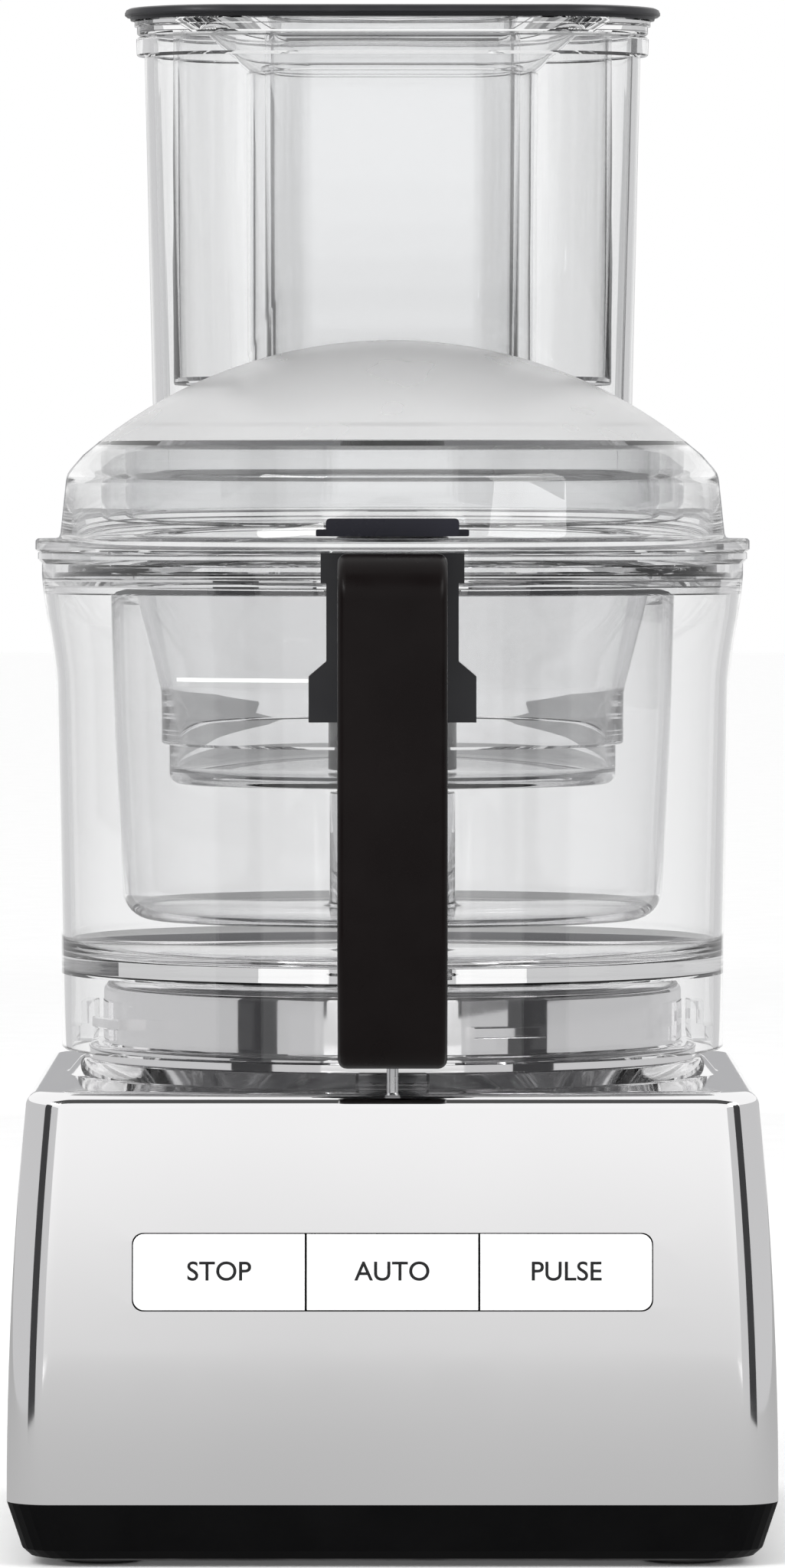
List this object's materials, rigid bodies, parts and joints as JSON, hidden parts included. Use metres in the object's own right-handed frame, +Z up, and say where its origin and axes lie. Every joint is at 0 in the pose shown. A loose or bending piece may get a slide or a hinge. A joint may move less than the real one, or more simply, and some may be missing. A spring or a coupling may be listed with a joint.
{
  "type": "food processor",
  "caption": "Food processor: chromed block base with direct-drive motor, nested clear bowls, domed lid, oval feed tube, nested pushers and a dark strap handle.",
  "frame": {"origin": "middle of the footprint on the worktop plane; the spindle stands 13 mm behind it", "axes": "+X to the right as the user faces the keys, +Y to the back, +Z up along the spindle"},
  "size_m": [0.2064, 0.254, 0.4219],
  "materials": {
    "chromed_zinc": "polished chrome over die-cast zinc",
    "black_plastic": "fine moulded grain",
    "foot_rubber": "matt",
    "steel_fasteners": "zinc plated",
    "lamination_steel": "stacked and lacquered",
    "copper_winding": "enamelled wire",
    "cast_aluminium": "as cast",
    "bearing_steel": "ground",
    "capacitor_can": "smooth",
    "circuit_board": "solder mask",
    "stainless_steel": "ground",
    "clear_plastic": "polished clear plastic",
    "frosted_plastic": "frosted",
    "handle_black": "satin",
    "dark_grey_plastic": "satin"
  },
  "bodies": {
    "base": {"housing": "chromed_zinc", "base_tray": "black_plastic", "feet": "foot_rubber", "tray_screws": "steel_fasteners", "cable_gland": "black_plastic", "bowl_collar": "chromed_zinc", "shaft_seal": "foot_rubber", "stator_core": "lamination_steel", "windings": "copper_winding", "lower_end_shield": "cast_aluminium", "upper_end_shield": "cast_aluminium", "motor_bolts": "steel_fasteners", "motor_mounts": "foot_rubber", "bearing_outer_races": "bearing_steel", "bearing_balls": "bearing_steel", "run_capacitor": "capacitor_can", "control_board": "circuit_board", "key_switches": "black_plastic", "board_screws": "steel_fasteners", "safety_switch": "black_plastic"},
    "safety_pin": {"safety_pin": "stainless_steel"},
    "drive": {"drive_shaft": "stainless_steel", "rotor_core": "lamination_steel", "cooling_fan": "cast_aluminium", "bearing_inner_races": "bearing_steel"},
    "stop_key": {"stop_key": "chromed_zinc"},
    "auto_key": {"auto_key": "chromed_zinc"},
    "pulse_key": {"pulse_key": "chromed_zinc"},
    "bowl": {"main_bowl": "clear_plastic", "handle_bracket": "dark_grey_plastic", "rod_guide": "black_plastic", "handle_grip": "handle_black", "handle_screws": "steel_fasteners"},
    "rod": {"safety_rod": "stainless_steel", "rod_spring": "steel_fasteners"},
    "midi": {"midi_bowl": "clear_plastic"},
    "mini": {"mini_bowl": "clear_plastic"},
    "blade": {"blade_hub": "handle_black", "mini_blades": "stainless_steel"},
    "lid": {"lid_shell": "clear_plastic", "lock_tab": "handle_black", "feed_tube": "clear_plastic"},
    "large_pusher": {"large_pusher": "clear_plastic", "pusher_cover": "clear_plastic", "pusher_crown": "dark_grey_plastic"},
    "small_pusher": {"small_pusher": "frosted_plastic"}
  },
  "joints": [
    {"name": "spindle_spin", "type": "hinge", "parent": "base", "child": "drive", "pos_m": [0, 0.013, 0], "axis": [0, 0, 1], "continuous": true},
    {"name": "stop_key_press", "type": "slide", "parent": "base", "child": "stop_key", "axis": [0, 1, 0], "range_m": [0, 0.0015], "stiffness_N_per_m": 900},
    {"name": "auto_key_press", "type": "slide", "parent": "base", "child": "auto_key", "axis": [0, 1, 0], "range_m": [0, 0.0015], "stiffness_N_per_m": 900},
    {"name": "pulse_key_press", "type": "slide", "parent": "base", "child": "pulse_key", "axis": [0, 1, 0], "range_m": [0, 0.0015], "stiffness_N_per_m": 900},
    {"name": "bowl_lift", "type": "slide", "parent": "base", "child": "bowl", "axis": [0, 0, 1], "range_m": [0, 0.14]},
    {"name": "safety_rod_slide", "type": "slide", "parent": "bowl", "child": "rod", "axis": [0, 0, 1], "range_m": [-0.003, 0], "stiffness_N_per_m": 400, "deforming": ["rod_spring"]},
    {"name": "safety_pin_slide", "type": "slide", "parent": "base", "child": "safety_pin", "axis": [0, 0, 1], "range_m": [-0.003, 0], "stiffness_N_per_m": 400},
    {"name": "midi_bowl_lift", "type": "slide", "parent": "bowl", "child": "midi", "axis": [0, 0, 1], "range_m": [0, 0.115]},
    {"name": "mini_bowl_lift", "type": "slide", "parent": "midi", "child": "mini", "axis": [0, 0, 1], "range_m": [0, 0.075]},
    {"name": "blade_spin", "type": "hinge", "parent": "mini", "child": "blade", "pos_m": [0, 0.013, 0], "axis": [0, 0, 1], "continuous": true},
    {"name": "lid_lift", "type": "slide", "parent": "mini", "child": "lid", "axis": [0, 0, 1], "range_m": [0, 0.07]},
    {"name": "large_pusher_slide", "type": "slide", "parent": "lid", "child": "large_pusher", "axis": [0, 0, 1], "range_m": [0, 0.11]},
    {"name": "small_pusher_slide", "type": "slide", "parent": "large_pusher", "child": "small_pusher", "axis": [0, 0, 1], "range_m": [0, 0.11]}
  ],
  "couplings": [
    {"joint": "blade_spin", "follows": "spindle_spin", "ratio": 1},
    {"joint": "safety_pin_slide", "follows": "safety_rod_slide", "ratio": 1}
  ]
}
